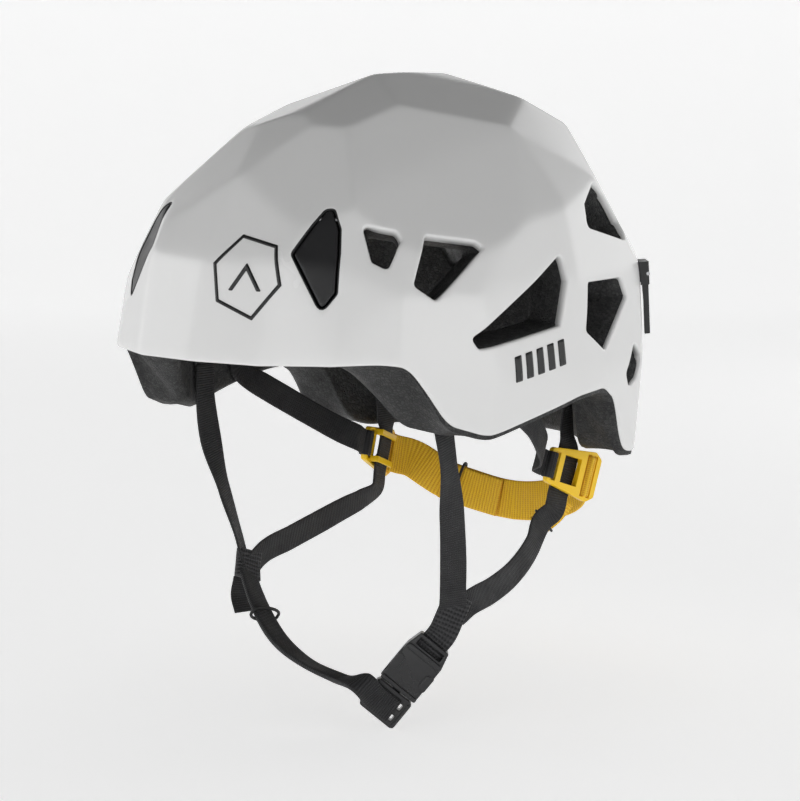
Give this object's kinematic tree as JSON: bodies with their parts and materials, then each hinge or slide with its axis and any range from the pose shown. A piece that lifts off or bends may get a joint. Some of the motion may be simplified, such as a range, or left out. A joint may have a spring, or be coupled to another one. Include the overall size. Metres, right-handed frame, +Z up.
{
  "type": "climbing helmet",
  "caption": "Faceted climbing helmet: thin moulded shell over a foam liner with side vents, lamp clips, webbing harness, strap dividers and a side-release chin buckle.",
  "frame": {"origin": "middle of the head opening at the level of the front brim", "axes": "+Z up out of the crown, -Y towards the forehead, +X towards the wearer's left"},
  "size_m": [0.214, 0.265, 0.3013],
  "materials": {
    "white_shell": "smooth gloss, soft facet edges",
    "grey_foam": "expanded bead foam, dark grey",
    "black_plastic": "satin moulded",
    "steel_pin": "plain drawn pin",
    "pad_fabric": "knitted cloth over soft foam",
    "hook_tape": "hook tape",
    "yellow_plastic": "moulded, semi gloss",
    "black_webbing": "ribbed woven tape",
    "yellow_webbing": "ribbed woven tape",
    "black_rubber": "matt moulded"
  },
  "bodies": {
    "helmet": {"brow_pad": "pad_fabric", "buckle_female": "black_plastic", "chin_sleeve_left": "black_webbing", "chin_strap_right": "black_webbing", "chin_tail_right": "black_webbing", "crown_pad": "pad_fabric", "ear_strap_left": "black_webbing", "ear_strap_right": "black_webbing", "foam_liner": "grey_foam", "front_clip_pin_left": "steel_pin", "front_clip_pin_right": "steel_pin", "front_clip_socket_left": "black_plastic", "front_clip_socket_right": "black_plastic", "front_strap_anchor_left": "black_plastic", "front_strap_anchor_right": "black_plastic", "front_strap_left": "black_webbing", "front_strap_right": "black_webbing", "nape_pad": "pad_fabric", "nape_strap": "yellow_webbing", "nape_tail_right": "yellow_webbing", "outer_shell": "white_shell", "pad_hook_dots": "hook_tape", "rear_clip_base_left": "black_plastic", "rear_clip_base_right": "black_plastic", "rear_clip_pin_left": "steel_pin", "rear_clip_pin_right": "steel_pin", "rear_strap_anchor_left": "black_plastic", "rear_strap_anchor_right": "black_plastic", "side_pad_left": "pad_fabric", "side_pad_right": "pad_fabric", "temple_strap_anchor_left": "black_plastic", "temple_strap_anchor_right": "black_plastic", "temple_strap_left": "black_webbing", "temple_strap_right": "black_webbing"},
    "front_clip_left": {"front_clip_left": "black_plastic"},
    "front_clip_right": {"front_clip_right": "black_plastic"},
    "rear_clip_left": {"rear_clip_left": "black_plastic"},
    "rear_clip_right": {"rear_clip_right": "black_plastic"},
    "divider_left": {"strap_divider_left": "yellow_plastic", "temple_loop_left": "black_webbing", "nape_loop_left": "yellow_webbing", "nape_tail_left": "yellow_webbing"},
    "divider_right": {"strap_divider_right": "yellow_plastic", "temple_loop_right": "black_webbing", "nape_loop_right": "yellow_webbing"},
    "buckle_male": {"buckle_male": "black_plastic"},
    "buckle_prong_rear": {"buckle_prong_rear": "black_plastic"},
    "buckle_prong_front": {"buckle_prong_front": "black_plastic"},
    "nape_keeper_ring": {"nape_keeper_ring": "black_rubber"},
    "chin_keeper_ring": {"chin_keeper_ring": "black_rubber"},
    "tail_keeper_ring": {"tail_keeper_ring": "black_rubber"}
  },
  "joints": [
    {"name": "front_clip_hinge_left", "type": "hinge", "parent": "helmet", "child": "front_clip_left", "pos_m": [0.05007, -0.0951, 0.06611], "axis": [-0.8418, -0.5399, 0], "range_deg": [0, 45]},
    {"name": "front_clip_hinge_right", "type": "hinge", "parent": "helmet", "child": "front_clip_right", "pos_m": [-0.05007, -0.0951, 0.06611], "axis": [-0.8418, 0.5399, 0], "range_deg": [0, 45]},
    {"name": "rear_clip_hinge_left", "type": "hinge", "parent": "helmet", "child": "rear_clip_left", "pos_m": [0.09014, 0.08823, 0.03443], "axis": [0.722, -0.6919, 0], "range_deg": [0, 35]},
    {"name": "rear_clip_hinge_right", "type": "hinge", "parent": "helmet", "child": "rear_clip_right", "pos_m": [-0.09014, 0.08823, 0.03443], "axis": [0.722, 0.6919, 0], "range_deg": [0, 35]},
    {"name": "divider_slide_left", "type": "slide", "parent": "helmet", "child": "divider_left", "axis": [-0.0494, -0.3171, -0.9471], "range_m": [0, 0.006]},
    {"name": "divider_slide_right", "type": "slide", "parent": "helmet", "child": "divider_right", "axis": [0.0494, -0.3171, -0.9471], "range_m": [0, 0.006]},
    {"name": "buckle_release", "type": "slide", "parent": "helmet", "child": "buckle_male", "axis": [-0.4707, -0.4206, -0.7756], "range_m": [0, 0.024]},
    {"name": "prong_rear_flex", "type": "hinge", "parent": "buckle_male", "child": "buckle_prong_rear", "pos_m": [0.04828, -0.03838, -0.15597], "axis": [0.625, -0.7794, 0.0434], "range_deg": [0, 7], "stiffness_Nm_per_rad": 0.004},
    {"name": "prong_front_flex", "type": "hinge", "parent": "buckle_male", "child": "buckle_prong_front", "pos_m": [0.04031, -0.04433, -0.14791], "axis": [-0.625, 0.7794, -0.0434], "range_deg": [0, 7]},
    {"name": "nape_ring_slide", "type": "slide", "parent": "helmet", "child": "nape_keeper_ring", "axis": [0.9124, 0.3041, -0.2737], "range_m": [-0.005, 0.005]},
    {"name": "chin_ring_slide", "type": "slide", "parent": "helmet", "child": "chin_keeper_ring", "axis": [-0.8021, 0.3099, 0.5104], "range_m": [-0.004, 0.004]},
    {"name": "tail_ring_slide", "type": "slide", "parent": "divider_left", "child": "tail_keeper_ring", "axis": [-0.5311, -0.5732, -0.624], "range_m": [-0.003, 0.003]}
  ],
  "couplings": [
    {"joint": "prong_front_flex", "follows": "prong_rear_flex", "ratio": 1}
  ]
}
